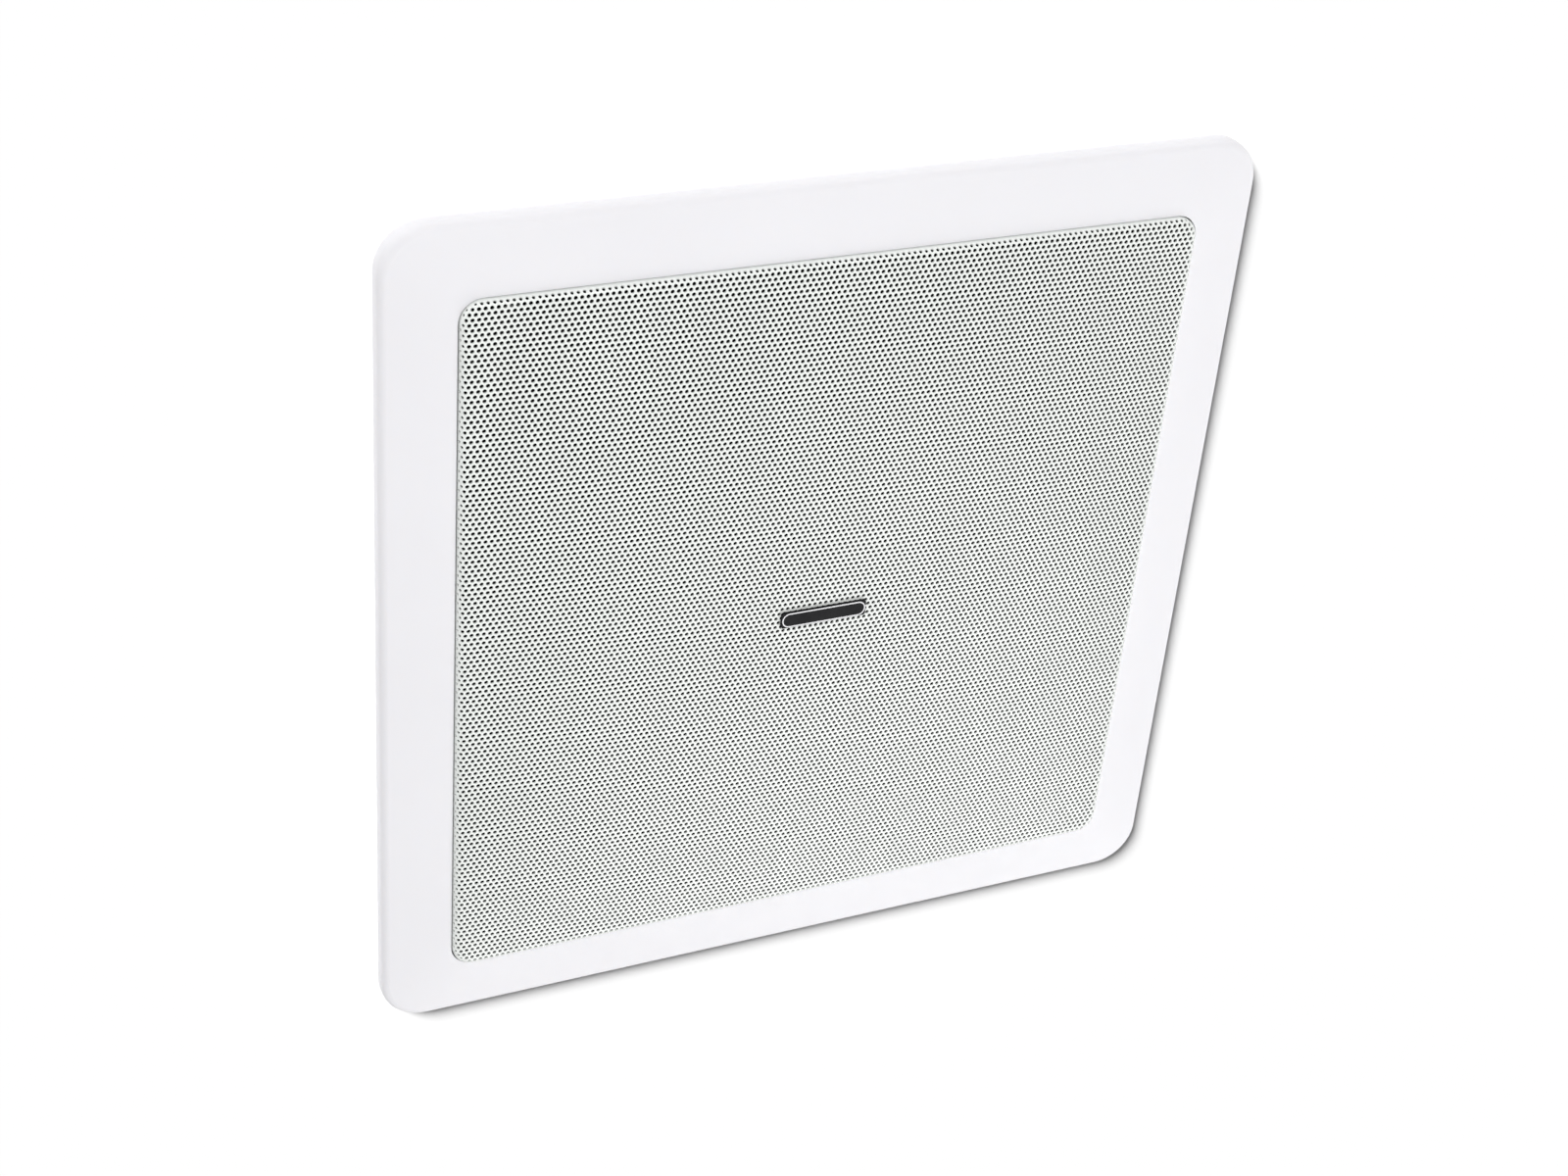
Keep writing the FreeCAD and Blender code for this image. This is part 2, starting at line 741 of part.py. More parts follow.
def crossover_capacitor():
    """A capacitor that lies on the board, with a bent lead at each end."""
    x = board_x - board_width / 2 + board_inset / 2 + capacitor_r
    z = board_top + capacitor_r
    y = board_y + board_length / 2 - 2 * board_inset - capacitor_length / 2 - capacitor_lead
    body = Part.makeCylinder(capacitor_r, capacitor_length, V(x, y - capacitor_length / 2, z), V(0, 1, 0))
    reach = capacitor_length / 2 + capacitor_lead
    body = body.fuse(Part.makeCylinder(capacitor_lead_r, 2 * reach, V(x, y - reach, z), V(0, 1, 0)))
    for side in (-1, 1):
        body = body.fuse(disc(capacitor_lead_r, board_top, z, x, y + side * (reach - capacitor_lead_r)))
    return body.removeSplitter()


def inductor_place():
    """The middle of the inductor on the board."""
    x = board_x + board_width / 2 - board_inset / 4 - inductor_r
    return x, board_y + board_length / 2 - 2 * board_inset - inductor_r


def crossover_inductor():
    """The inductor's flanged bobbin."""
    x, y = inductor_place()
    top = board_top + inductor_height
    core = disc(inductor_core_r, board_top, top, x, y)
    lower = disc(inductor_r, board_top, board_top + inductor_flange, x, y)
    upper = disc(inductor_r, top - inductor_flange, top, x, y)
    return core.fuse([lower, upper]).removeSplitter()


def inductor_winding():
    """The copper winding on the bobbin."""
    x, y = inductor_place()
    low = board_top + inductor_flange
    high = board_top + inductor_height - inductor_flange
    return ring(inductor_winding_r, inductor_core_r + winding_gap, low, high, x, y)


def way_x(side):
    """The middle of one of the terminal's two ways."""
    return board_x + side * way_pitch / 2


def terminal_block():
    """The terminal's body, with a button well and a square wire slot for each way."""
    block = box(board_x, block_y, board_top, block_length, block_width, block_height)
    upright = [e for e in block.Edges if e.BoundBox.ZLength > block_height / 2]
    block = block.makeFillet(block_corner, upright)
    well_side = button_side + 2 * button_gap
    cuts = []
    for side in (-1, 1):
        well_low = board_top + block_floor
        cuts.append(box(way_x(side), block_y + button_offset, well_low, well_side, well_side,
                        block_top - well_low))
        cuts.append(box(way_x(side), block_y + wire_offset, block_top - wire_depth, wire_slot, wire_slot,
                        wire_depth))
    return block.cut(cuts)


def terminal_button(side):
    """One push button."""
    top = block_top + button_proud
    button_y = block_y + button_offset
    button = box(way_x(side), button_y, button_base, button_side, button_side, top - button_base)
    return button.makeFillet(block_corner, edges_between(button, top - block_corner, top + block_corner))


def terminal_spring(side):
    """The leaf spring under one button."""
    low = board_top + block_floor
    half = button_side / 2 - spring_sheet
    points = [(-half, low), (half, low), (-half, button_base - spring_sheet - button_gap / 3)]
    corners = [V(0, y, z) for y, z in sheet_outline(points, spring_sheet)]
    leaf = Part.Face(Part.makePolygon(corners + corners[:1])).extrude(V(spring_width, 0, 0))
    leaf.translate(V(way_x(side) - spring_width / 2, block_y + button_offset, 0))
    return leaf


def all_nodes():
    """Every piece of the speaker by name."""
    nodes = {
        "bezel_frame": bezel_frame(),
        "grille": grille(),
        "grille_cloth": grille_cloth(),
        "badge_plate": badge_plate(),
        "woofer_gasket": woofer_gasket(),
        "woofer_basket": woofer_basket(),
        "woofer_surround": woofer_surround(),
        "woofer_cone": woofer_cone(),
        "woofer_spider": woofer_spider(),
        "voice_coil_former": voice_coil_former(),
        "voice_coil": voice_coil(),
        "top_plate": top_plate(),
        "ring_magnet": ring_magnet(),
        "t_yoke": t_yoke(),
        "woofer_screws": woofer_screws(),
        "woofer_tag_strip": woofer_tag_strip(),
        "tweeter_post": tweeter_post(),
        "post_spacer": post_spacer(),
        "post_washer": post_washer(),
        "post_nut": post_nut(),
        "tweeter_housing": tweeter_housing(),
        "tweeter_yoke": tweeter_yoke(),
        "tweeter_magnet": tweeter_magnet(),
        "tweeter_pole_plate": tweeter_pole_plate(),
        "tweeter_coil": tweeter_coil(),
        "tweeter_dome": tweeter_dome(),
        "tweeter_faceplate": tweeter_faceplate(),
        "crossover_board": crossover_board(),
        "board_screws": board_screws(),
        "crossover_capacitor": crossover_capacitor(),
        "crossover_inductor": crossover_inductor(),
        "inductor_winding": inductor_winding(),
        "terminal_block": terminal_block(),
        "terminal_button_red": terminal_button(-1),
        "terminal_button_black": terminal_button(1),
        "terminal_spring_red": terminal_spring(-1),
        "terminal_spring_black": terminal_spring(1),
    }
    for index, screw in enumerate(around(clamp_screw(), 4), 1):
        nodes[f"clamp_screw_{index}"] = screw
    for index, dog in enumerate(around(clamp_dog(), 4), 1):
        nodes[f"clamp_dog_{index}"] = dog
    return nodes


os.makedirs("parts", exist_ok=True)
for name, shape in all_nodes().items():
    shape.exportStep(f"parts/{name}.step")
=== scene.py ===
import math
import bpy
import numpy as np
from mathutils import Matrix, Vector

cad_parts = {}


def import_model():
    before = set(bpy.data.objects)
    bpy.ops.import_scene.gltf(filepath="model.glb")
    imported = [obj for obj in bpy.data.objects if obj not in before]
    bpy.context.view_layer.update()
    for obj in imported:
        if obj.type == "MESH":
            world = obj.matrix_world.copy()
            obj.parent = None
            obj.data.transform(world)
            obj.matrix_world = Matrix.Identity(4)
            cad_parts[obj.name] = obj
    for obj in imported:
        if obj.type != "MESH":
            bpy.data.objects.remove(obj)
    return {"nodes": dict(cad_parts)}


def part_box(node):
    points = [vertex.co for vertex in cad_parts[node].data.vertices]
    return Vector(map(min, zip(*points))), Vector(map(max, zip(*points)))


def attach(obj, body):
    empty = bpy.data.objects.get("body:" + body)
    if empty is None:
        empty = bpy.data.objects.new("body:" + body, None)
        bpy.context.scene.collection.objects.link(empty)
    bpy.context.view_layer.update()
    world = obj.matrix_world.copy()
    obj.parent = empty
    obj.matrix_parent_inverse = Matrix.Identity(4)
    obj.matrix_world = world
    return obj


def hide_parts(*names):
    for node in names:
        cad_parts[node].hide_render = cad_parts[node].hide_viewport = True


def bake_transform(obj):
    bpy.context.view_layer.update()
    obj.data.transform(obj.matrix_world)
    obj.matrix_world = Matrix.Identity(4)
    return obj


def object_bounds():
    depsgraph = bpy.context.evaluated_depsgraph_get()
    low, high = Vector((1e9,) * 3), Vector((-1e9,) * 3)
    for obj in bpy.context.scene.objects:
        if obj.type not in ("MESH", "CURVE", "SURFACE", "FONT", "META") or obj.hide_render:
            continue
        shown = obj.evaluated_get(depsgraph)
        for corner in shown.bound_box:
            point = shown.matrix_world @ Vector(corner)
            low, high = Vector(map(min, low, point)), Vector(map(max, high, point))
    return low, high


# The looks of a square ceiling speaker: its perforated grille, the finish of each piece, light and camera.
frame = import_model()
cad_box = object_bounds()
MM = 0.001
FULL_TURN = 2 * math.pi

# Perforated sheet: a staggered pattern of round holes that runs out over the rolled edge
SHEET = 0.5 * MM
EDGE_ROLL = 2.5 * MM
GRILLE_CORNER = 7.6 * MM
CROWN = 3.2 * MM
CROWN_FULLNESS = 0.65
HOLE_PITCH = 2.0 * MM
ROW_PITCH = 1.7055 * MM
PATTERN_SHIFT = -0.2 * MM
HOLE_R = 0.71 * MM
HOLE_SIDES = 8
HOLE_SQUEEZE = 0.25
SKIRT = 7.6 * MM
GRILLE_BANDS = 5
SHARP_ANGLE = math.radians(50)
SAME_POINT = 1e-7
CUT_TOLERANCE = 1e-6
LAYOUT_EDGE = 0.004
WALL_CORNERS = 4

# Badge border
BORDER_INSET = 0.2 * MM
BORDER_WIDTH = 0.4 * MM
BORDER_HEIGHT = 0.12 * MM

# Clamp screws: their shank is drawn in to the root, and a thread runs round it
CLAMP_COUNT = 4
SCREW_R = 2.0 * MM
SHANK_TOLERANCE = 0.1 * MM
THREAD_ROOT_R = 1.6 * MM
THREAD_PITCH = 1.0 * MM
THREAD_FLANK = 0.42
THREAD_CREST = 0.2
THREAD_STEPS = 14
THREAD_CLEAR = 0.8 * MM
PLAIN_SHANK = 8.0 * MM

# Inductor: close turns of round wire
WIRE = 0.85 * MM
WINDING_DEPTH = 4 * WIRE
TURN_STEPS = 6
LATHE_STEPS = 48

# Finishes: the frame's plastic, the painted shade in black inside the opening and behind the grille, and the
# capacitor's sleeve and bare leads
DULL_SHINE = 0.1
FRAME_SHINE = 0.2
FRAME_GLOW = 0.4
FRAME_GLOW_TINT = (1.0, 0.95, 0.9)
FRAME_GLOW_DEPTH = 1.2 * MM
# Painted shade: the frame turns black within the opening and between these depths, in the gap at the lip and
# behind the grille
OPENING_HALF = 127.3 * MM
INSIDE_FRONT = -9.2 * MM
INSIDE_BACK = -1.9 * MM
INSIDE_FADE = 0.2 * MM
INSIDE_SHADE_BLACK = (0.008, 0.008, 0.008, 1.0)
CAPACITOR_LENGTH = 20.0 * MM
SLEEVE_OVERHANG = 0.02 * MM
SLEEVE_FADE = 0.04 * MM
TIN = (0.72, 0.71, 0.68)
COPPER = (0.75, 0.30, 0.12)
SCRIM_BLACK = (0.004, 0.004, 0.004)
SILVER = (0.88, 0.88, 0.90)
SILVER_ROUGHNESS = 0.4

# Nodes: the sockets of a colour mix, and how far apart a wave texture's bands lie at a scale of 1
MIX_FIRST = 6
MIX_SECOND = 7
MIX_RESULT = 2
WAVE_PERIOD = math.pi / 10

# Camera, as the photograph was taken
IMAGE_WIDTH = 1600
FOCAL_PIXELS = 2645.0
SENSOR_MM = 36.0
CAMERA_PLACE = (-0.33847, -0.46607, -0.66640)
CAMERA_FORWARD = (0.37671, 0.53128, 0.75883)
CAMERA_UP = (0.15462, -0.84375, 0.51398)

# Stage: the ceiling is seen from below only, so that the speaker's back stays in view from above
STAGE_REACH = 8.0
CEILING_LIFT = 0.1 * MM
CEILING_OVERLAP = 0.5 * MM
FLANGE_CORNER = 15.5 * MM
ARC_STEPS = 16
PALE = (0.8, 0.8, 0.8, 1.0)
WHITE = (1.0, 1.0, 1.0, 1.0)
WORLD_LIGHT = 0.22

# Lamps: the place, size and power of each soft box on the part, and the sun that lights the ceiling alone
SOFT_BOXES = {
    "right_box": ((1.12, 2.00, -1.58), 1.5, 43.0),
    "upper_box": ((0.05, -1.65, -2.20), 2.0, 51.0),
    "rim_box": ((-2.70, -0.60, -0.06), 1.0, 27.0),
    "top_box": ((-0.60, -0.80, 1.40), 1.4, 18.0),
}
SUN_PLACE = (-1.2, -1.4, -1.0)
SUN_WIDTH = math.radians(18)
SUN_STRENGTH = 6.8


# Helpers

def rounded_square(half_x, half_y, corner):
    """Points round a rectangle with round corners, anticlockwise."""
    points = []
    for quarter, (sx, sy) in enumerate(((1, 1), (-1, 1), (-1, -1), (1, -1))):
        for step in range(ARC_STEPS + 1):
            angle = math.radians(90) * (quarter + step / ARC_STEPS)
            x = sx * (half_x - corner) + corner * math.cos(angle)
            y = sy * (half_y - corner) + corner * math.sin(angle)
            points.append((x, y))
    return np.array(points)


def add_object(name, data):
    """A new object of the scene."""
    made = bpy.data.objects.new(name, data)
    bpy.context.scene.collection.objects.link(made)
    return made


def new_mesh(name, points, faces):
    """A new mesh from its points and faces."""
    mesh = bpy.data.meshes.new(name)
    mesh.from_pydata(points, [], faces)
    return mesh


def smooth(mesh):
    """Shades a mesh smooth, apart from its sharp edges."""
    mesh.shade_smooth()
    mesh.set_sharp_from_angle(angle=SHARP_ANGLE)


def points_of(mesh):
    """A mesh's points as an array."""
    points = np.empty(len(mesh.vertices) * 3)
    mesh.vertices.foreach_get("co", points)
    return points.reshape(-1, 3)


def move_points(mesh, points):
    """Puts a mesh's points where an array says."""
    mesh.vertices.foreach_set("co", points.ravel())
    mesh.update()


# The perforated grille

grille_low, grille_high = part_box("grille")
half_side = grille_high.x
crown_rim = grille_low.z + CROWN
roll_start = half_side - EDGE_ROLL
core_corner = GRILLE_CORNER - EDGE_ROLL
core_flat = roll_start - core_corner
roll_length = EDGE_ROLL * math.pi / 2
sheet_end = roll_length + SKIRT


def past_roll(flat):
    """How far points of the flat sheet lie past the start of its roll, and in which direction from where."""
    middle = np.clip(flat, -core_flat, core_flat)
    away = flat - middle
    distance = np.hypot(away[:, 0], away[:, 1])
    outward = away / np.maximum(distance, SAME_POINT)[:, None]
    return distance - core_corner, outward, middle


def trimmed(flat):
    """Points of the flat sheet, drawn in to the line where it is cut."""
    past, outward, middle = past_roll(flat)
    cut = middle + outward * (core_corner + sheet_end)
    return np.where((past > sheet_end)[:, None], cut, flat)


def crown_rise(place):
    """The crown's height along one side, as a share: part parabola, part fourth power."""
    share = np.clip(place / half_side, -1, 1)
    return 1 - (1 - CROWN_FULLNESS) * share ** 2 - CROWN_FULLNESS * share ** 4


def pressed(flat, depth):
    """Where points of the flat sheet lie once it is crowned and its edge is rolled over."""
    past, outward, middle = past_roll(flat)
    rolled = past > 0
    angle = np.clip(past / EDGE_ROLL, 0, math.pi / 2)
    start = np.where(rolled[:, None], middle + outward * core_corner, flat)
    reach = (EDGE_ROLL - depth) * np.sin(angle)
    drop = EDGE_ROLL - (EDGE_ROLL - depth) * np.cos(angle)
    skirt = np.clip(past - roll_length, 0, SKIRT)
    level = crown_rim - CROWN * crown_rise(start[:, 0]) * crown_rise(start[:, 1])
    plan = start + outward * np.where(rolled, reach, 0)[:, None]
    return np.column_stack([plan, level + drop + skirt])


def hole_places():
    """The middles of the pattern's cells over the whole flat sheet."""
    reach = roll_start + sheet_end + HOLE_PITCH
    rows = int(reach / ROW_PITCH)
    columns = int(reach / HOLE_PITCH)
    row, column = np.mgrid[-rows:rows + 1, -columns:columns + 1]
    x = (column + 0.5 * (row % 2)) * HOLE_PITCH + PATTERN_SHIFT
    return np.column_stack([x.ravel(), (row * ROW_PITCH).ravel()])


def cell_corners():
    """The six corners of the cell round one hole, anticlockwise."""
    side = HOLE_PITCH / 2
    low = (ROW_PITCH ** 2 - side ** 2) / (2 * ROW_PITCH)
    top = ROW_PITCH - low
    return np.array([(side, -low), (side, low), (0, top), (-side, low), (-side, -low), (0, -top)])


def corners_of(cells):
    """The corners of many cells, as one list."""
    return (cells[:, None] + cell_corners()).reshape(-1, 2)


def ring_points():
    """Points round one hole, anticlockwise."""
    turn = np.arange(HOLE_SIDES) * FULL_TURN / HOLE_SIDES
    return HOLE_R * np.column_stack([np.cos(turn), np.sin(turn)])


def hole_rings(centres):
    """Points round each hole, which narrows over the roll, and points halfway in to its middle."""
    rolled = np.clip(past_roll(centres)[0] / EDGE_ROLL, 0, 1)
    squeeze = 1 - HOLE_SQUEEZE * rolled ** 2
    rings = (centres[:, None] + squeeze[:, None, None] * ring_points()).reshape(-1, 2)
    halfway = (rings + np.repeat(centres, HOLE_SIDES, axis=0)) / 2
    return rings, halfway


def cell_triangles(corners, ring):
    """Triangles between a cell's corners and its hole: corners come first in the numbering, then the ring."""
    outer = np.arctan2(corners[:, 1], corners[:, 0])
    outer = np.append(outer, outer[0] + FULL_TURN)
    outer[1:-1] = np.where(outer[1:-1] < outer[0], outer[1:-1] + FULL_TURN, outer[1:-1])
    inner = np.arctan2(ring[:, 1], ring[:, 0])
    inner = np.append(np.where(inner < 0, inner + FULL_TURN, inner), FULL_TURN)
    i = j = 0
    triangles = []
    while i < len(corners) or j < len(ring):
        a = i % len(corners)
        b = len(corners) + j % len(ring)
        if j == len(ring) or (i < len(corners) and outer[i + 1] <= inner[j + 1]):
            i += 1
            triangles.append((a, i % len(corners), b))
        else:
            j += 1
            triangles.append((a, len(corners) + j % len(ring), b))
    return np.array(triangles)


def shared_corners(cells):
    """Each cell's corners as numbers in one list of points that neighbours share."""
    points = trimmed(corners_of(cells))
    keys = np.round(points / SAME_POINT).astype(np.int64)
    _, first, number = np.unique(keys, axis=0, return_index=True, return_inverse=True)
    return points[first], number.reshape(len(cells), -1)


def open_edges(corners, on_cut):
    """The cells' edges along the sheet's cut that no second cell shares."""
    starts = corners.ravel()
    ends = np.roll(corners, -1, axis=1).ravel()
    wanted = on_cut[starts] & on_cut[ends] & (starts != ends)
    pairs = np.column_stack([starts, ends])[wanted]
    _, first, count = np.unique(np.sort(pairs, axis=1), axis=0, return_index=True, return_counts=True)
    return pairs[first[count == 1]]


def blank_faces(corners):
    """Faces of the cells with no hole, without the corners that the cut has drawn together."""
    faces = [list(dict.fromkeys(row)) for row in corners.tolist()]
    return [face for face in faces if len(face) > 2]


def lay_flat(mesh, flat, inner, walls):
    """A flat layout for the finish: the front below, the back above, each hole's wall within its hole."""
    back = len(flat)
    corner = np.empty(len(mesh.loops), dtype=np.int32)
    mesh.loops.foreach_get("vertex_index", corner)
    behind = corner >= back
    on_wall = np.arange(len(corner)) >= len(corner) - WALL_CORNERS * walls
    place = np.where((behind & on_wall)[:, None], inner[corner % back], flat[corner % back])
    low = place.min(axis=0)
    share = LAYOUT_EDGE + (1 - 2 * LAYOUT_EDGE) * (place - low) / (place.max(axis=0) - low)
    share[:, 1] = (share[:, 1] + (behind & ~on_wall)) / 2
    layout = mesh.uv_layers.new(name="OFBake")
    layout.data.foreach_set("uv", share.astype(np.float32).ravel())


def perforated_band(name, cells):
    """One band of the sheet: its front, its back, the holes' walls and the cut edge of its skirt."""
    flat, corners = shared_corners(cells)
    pierced = past_roll(cells)[0] + HOLE_R <= roll_length
    rings, halfway = hole_rings(cells[pierced])
    ring = len(flat) + np.arange(len(rings)).reshape(-1, HOLE_SIDES)
    inner = np.vstack([flat + past_roll(flat)[1] * SHEET, halfway])
    flat = np.vstack([flat, rings])
    back = len(flat)
    cell = np.hstack([corners[pierced], ring])
    front = cell[:, cell_triangles(cell_corners(), ring_points())].reshape(-1, 3)
    blank = blank_faces(corners[~pierced])
    after = np.roll(ring, -1, axis=1)
    walls = np.stack([ring, after, after + back, ring + back], axis=2).reshape(-1, WALL_CORNERS)
    on_cut = past_roll(flat)[0] > sheet_end - CUT_TOLERANCE
    start, end = open_edges(corners, on_cut).T
    edge = np.column_stack([start, start + back, end + back, end])
    faces = front[:, ::-1].tolist() + (front + back).tolist()
    faces += [row[::-1] for row in blank] + [[v + back for v in row] for row in blank]
    faces += walls.tolist() + edge.tolist()
    mesh = new_mesh(name, np.vstack([pressed(flat, 0), pressed(flat, SHEET)]), faces)
    lay_flat(mesh, flat, inner, len(walls) + len(edge))
    smooth(mesh)
    return add_object(name, mesh)


def perforated_grille(material):
    """The whole grille, in bands of rows."""
    cells = hole_places()
    nearest = past_roll(corners_of(cells))[0].reshape(len(cells), -1).min(axis=1)
    cells = cells[nearest < sheet_end - SAME_POINT]
    for index, rows in enumerate(np.array_split(cells, GRILLE_BANDS), 1):
        piece = perforated_band(f"grille_face_{index}", rows)
        piece.data.materials.append(material)
        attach(piece, "frame")
        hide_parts("grille")


# Badge border

def badge_border(material):
    """A thin raised border with round ends on the plain badge."""
    low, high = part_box("badge_plate")
    middle = (low + high) / 2
    lines = []
    for inset, lift in ((0, 0), (0, 1), (BORDER_WIDTH, 1), (BORDER_WIDTH, 0)):
        gone = BORDER_INSET + inset
        half_y = high.y - middle.y - gone
        outline = rounded_square(high.x - middle.x - gone, half_y, half_y)
        height = np.full(len(outline), low.z - lift * BORDER_HEIGHT)
        lines.append(np.column_stack([outline + middle.xy, height]))
    count = len(lines[0])
    faces = []
    for line in range(len(lines)):
        here = line * count
        there = (line + 1) % len(lines) * count
        for point in range(count):
            after = (point + 1) % count
            faces.append((here + point, there + point, there + after, here + after))
    mesh = new_mesh("badge_border", np.vstack(lines), faces)
    mesh.materials.append(material)
    piece = add_object("badge_border", mesh)
    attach(piece, "frame")


# Threads of the clamp screws

def screw_blank(name, node, axis):
    """A copy of one clamp screw whose shank is drawn in to the root of its thread."""
    mesh = node.data.copy()
    points = points_of(mesh)
    away = points[:, :2] - axis
    shank = np.abs(np.hypot(away[:, 0], away[:, 1]) - SCREW_R) < SHANK_TOLERANCE
    points[shank, :2] = axis + away[shank] * THREAD_ROOT_R / SCREW_R
    move_points(mesh, points)
    return add_object(name, mesh)


def screw_thread(name, axis, low, high):
    """A ridge that winds up round an axis: two flanks and a narrow crest."""
    turns = (high - low) / THREAD_PITCH - 2 * THREAD_FLANK
    steps = int(turns * THREAD_STEPS)
    turn = np.arange(steps + 1) * FULL_TURN / THREAD_STEPS
    middle = low + THREAD_PITCH * (THREAD_FLANK + np.arange(steps + 1) / THREAD_STEPS)
    profile = ((THREAD_ROOT_R, -1), (SCREW_R, -THREAD_CREST), (SCREW_R, THREAD_CREST), (THREAD_ROOT_R, 1))
    lines = []
    for radius, shift in profile:
        x = axis[0] + radius * np.cos(turn)
        y = axis[1] + radius * np.sin(turn)
        lines.append(np.column_stack([x, y, middle + shift * THREAD_FLANK * THREAD_PITCH]))
    count = len(turn)
    here = np.arange(count - 1)
    faces = []
    for line in range(len(lines)):
        first = line * count
        second = (line + 1) % len(lines) * count
        faces += np.column_stack([first + here, first + here + 1, second + here + 1, second + here]).tolist()
    ends = [line * count for line in range(len(lines))]
    faces += [ends, [start + count - 1 for start in ends[::-1]]]
    return add_object(name, new_mesh(name, np.vstack(lines), faces))


def threaded_screws(material):
    """The clamp screws with their threads."""
    for index in range(1, CLAMP_COUNT + 1):
        name = f"clamp_screw_{index}"
        low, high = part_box(name)
        axis = np.array(((low + high) / 2).xy)
        blank = screw_blank(f"clamp_shank_{index}", frame["nodes"][name], axis)
        thread = screw_thread(f"clamp_thread_{index}", axis, low.z + PLAIN_SHANK, high.z - THREAD_CLEAR)
        for piece in (blank, thread):
            piece.data.materials.clear()
            piece.data.materials.append(material)
            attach(piece, f"clamp_{index}")
            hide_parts(name)


# Pieces that flex

def flexing_copy(name, node, slot):
    """A piece with a CAD node's shape that stands for it."""
    mesh = frame["nodes"][node].data.copy()
    mesh.materials.clear()
    mesh.materials.append(FINISHES[slot].material)
    piece = add_object(name, mesh)
    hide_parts(node)
    return piece


def flex_ring(piece):
    """For a ring whose outer part is held by the frame and whose inner part holds the cone: lays its points
    on one line, each at its radius, bakes the object's transform, and puts the points back.
    """
    points = points_of(piece.data)
    radius = np.hypot(points[:, 0], points[:, 1])
    # Each point lies on one line, at its radius, while the transform is baked
    move_points(piece.data, np.column_stack([radius, np.zeros(len(radius)), points[:, 2]]))
    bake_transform(piece)
    move_points(piece.data, points)


def suspension():
    """The surround and the spider, which carry the cone."""
    surround = flexing_copy("surround_roll", "woofer_surround", "surround_rubber")
    flex_ring(surround)
    spider = flexing_copy("spider_waves", "woofer_spider", "spider_cloth")
    flex_ring(spider)


def leaf_springs():
    """The leaf springs as copies of their CAD nodes; on the real part the foot of each stays and its free end
    goes down with the button.
    """
    for colour in ("red", "black"):
        node = f"terminal_spring_{colour}"
        piece = flexing_copy(f"button_leaf_{colour}", node, "spring_steel")
        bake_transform(piece)


# Turns of the inductor's winding

def winding_profile(outer_r, low, high):
    """Half round turns of wire above each other, closed by a straight line on the inside."""
    count = int((high - low) / WIRE)
    pitch = (high - low) / count
    profile = [(outer_r - WINDING_DEPTH, low)]
    for turn in range(count):
        centre = low + pitch * (turn + 0.5)
        for step in range(TURN_STEPS):
            angle = math.pi * ((step + 0.5) / TURN_STEPS - 0.5)
            radius = outer_r - pitch / 2 * (1 - math.cos(angle))
            profile.append((radius, centre + pitch / 2 * math.sin(angle)))
    profile.append((outer_r - WINDING_DEPTH, high))
    return np.array(profile)


def lathed(name, middle, profile):
    """A closed profile turned round an upright axis."""
    turn = np.arange(LATHE_STEPS) * FULL_TURN / LATHE_STEPS
    x = middle.x + profile[:, 0][None] * np.cos(turn)[:, None]
    y = middle.y + profile[:, 0][None] * np.sin(turn)[:, None]
    z = np.broadcast_to(profile[:, 1], x.shape)
    rows = len(profile)
    faces = []
    for a in range(LATHE_STEPS):
        b = (a + 1) % LATHE_STEPS
        for row in range(rows):
            after = (row + 1) % rows
            faces.append((a * rows + row, b * rows + row, b * rows + after, a * rows + after))
    return new_mesh(name, np.stack([x, y, z], axis=2).reshape(-1, 3), faces)


def inductor_turns(material):
    """The winding as a stack of round turns on the bobbin's core."""
    low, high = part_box("inductor_winding")
    middle = (low + high) / 2
    mesh = lathed("inductor_turns", middle, winding_profile(high.x - middle.x, low.z, high.z))
    smooth(mesh)
    mesh.materials.append(material)
    piece = add_object("inductor_turns", mesh)
    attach(piece, "frame")
    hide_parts("inductor_winding")


# Finishes

